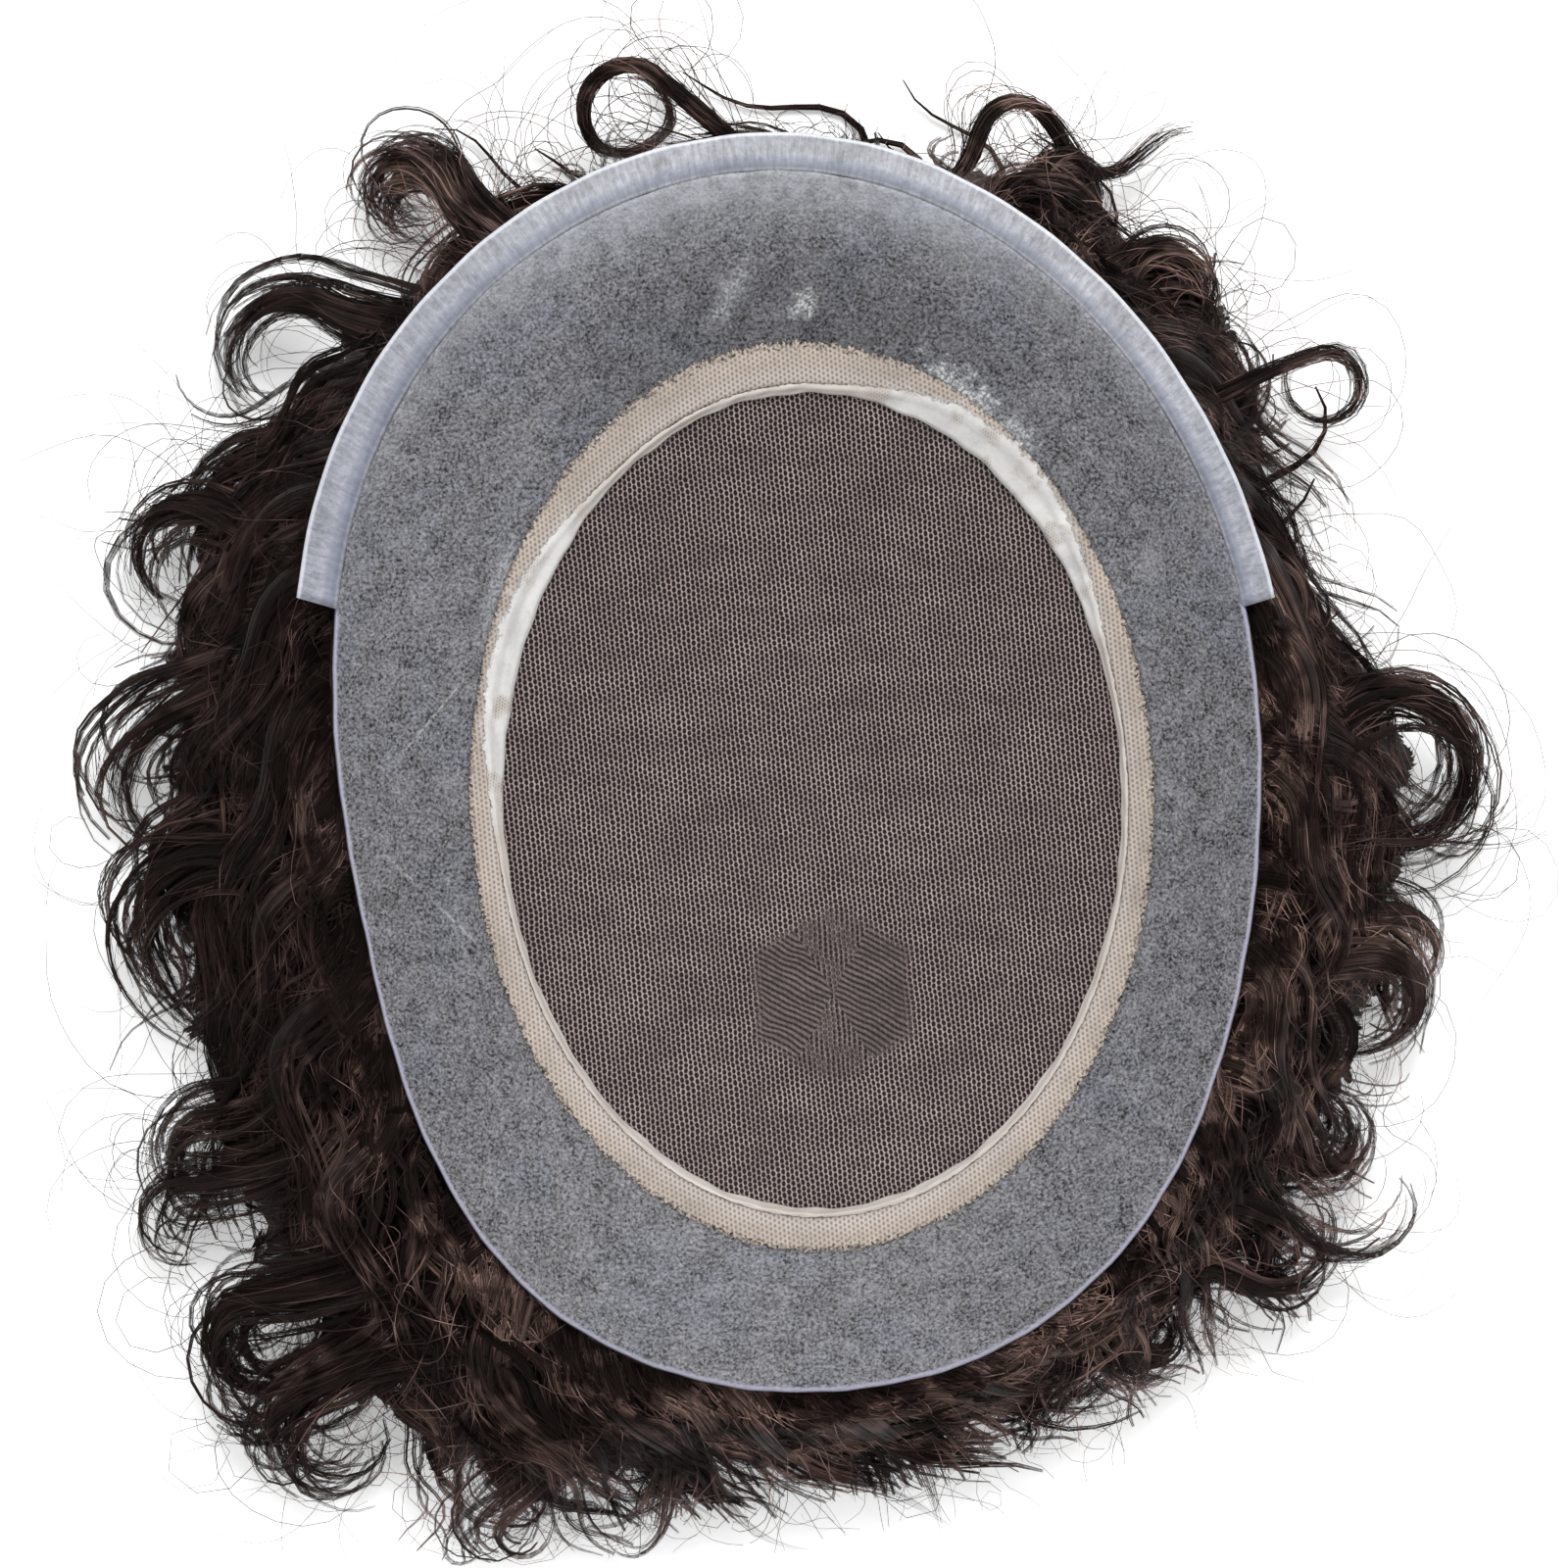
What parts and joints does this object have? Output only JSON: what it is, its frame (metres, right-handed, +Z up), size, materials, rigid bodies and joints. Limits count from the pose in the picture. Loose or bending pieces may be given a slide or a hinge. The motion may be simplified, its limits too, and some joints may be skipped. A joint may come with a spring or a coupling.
{
  "type": "toupee hairpiece",
  "caption": "Oval cupped hairpiece base with net centre, skin perimeter and front lip, curly dark hair beneath, resting hair side down.",
  "frame": {"origin": "centre of the bounding box, on the surface that the hair rests on", "axes": "+Y towards the front edge of the base, +X to the right seen from the scalp side, +Z up out of the hollow scalp side"},
  "size_m": [0.2832, 0.2942, 0.0518],
  "materials": {
    "lace": "fine hexagonal monofilament net, pinkish beige over dark hair",
    "skin": "thin polyurethane film over knotted hair, cool grey with fine speckle",
    "lip": "frosted clear film, faint blue",
    "binding": "fine woven net tape, pale beige",
    "seam_coat": "cured coating, off-white, satin",
    "hair": "curly human hair, very dark brown with a soft sheen"
  },
  "bodies": {
    "root": {"lace_centre": "lace", "skin_perimeter": "skin", "front_lip": "lip", "net_binding": "binding", "seam_coat": "seam_coat", "hair_crown": "hair", "hair_front": "hair", "hair_left": "hair", "hair_back": "hair", "hair_right": "hair"}
  },
  "joints": []
}
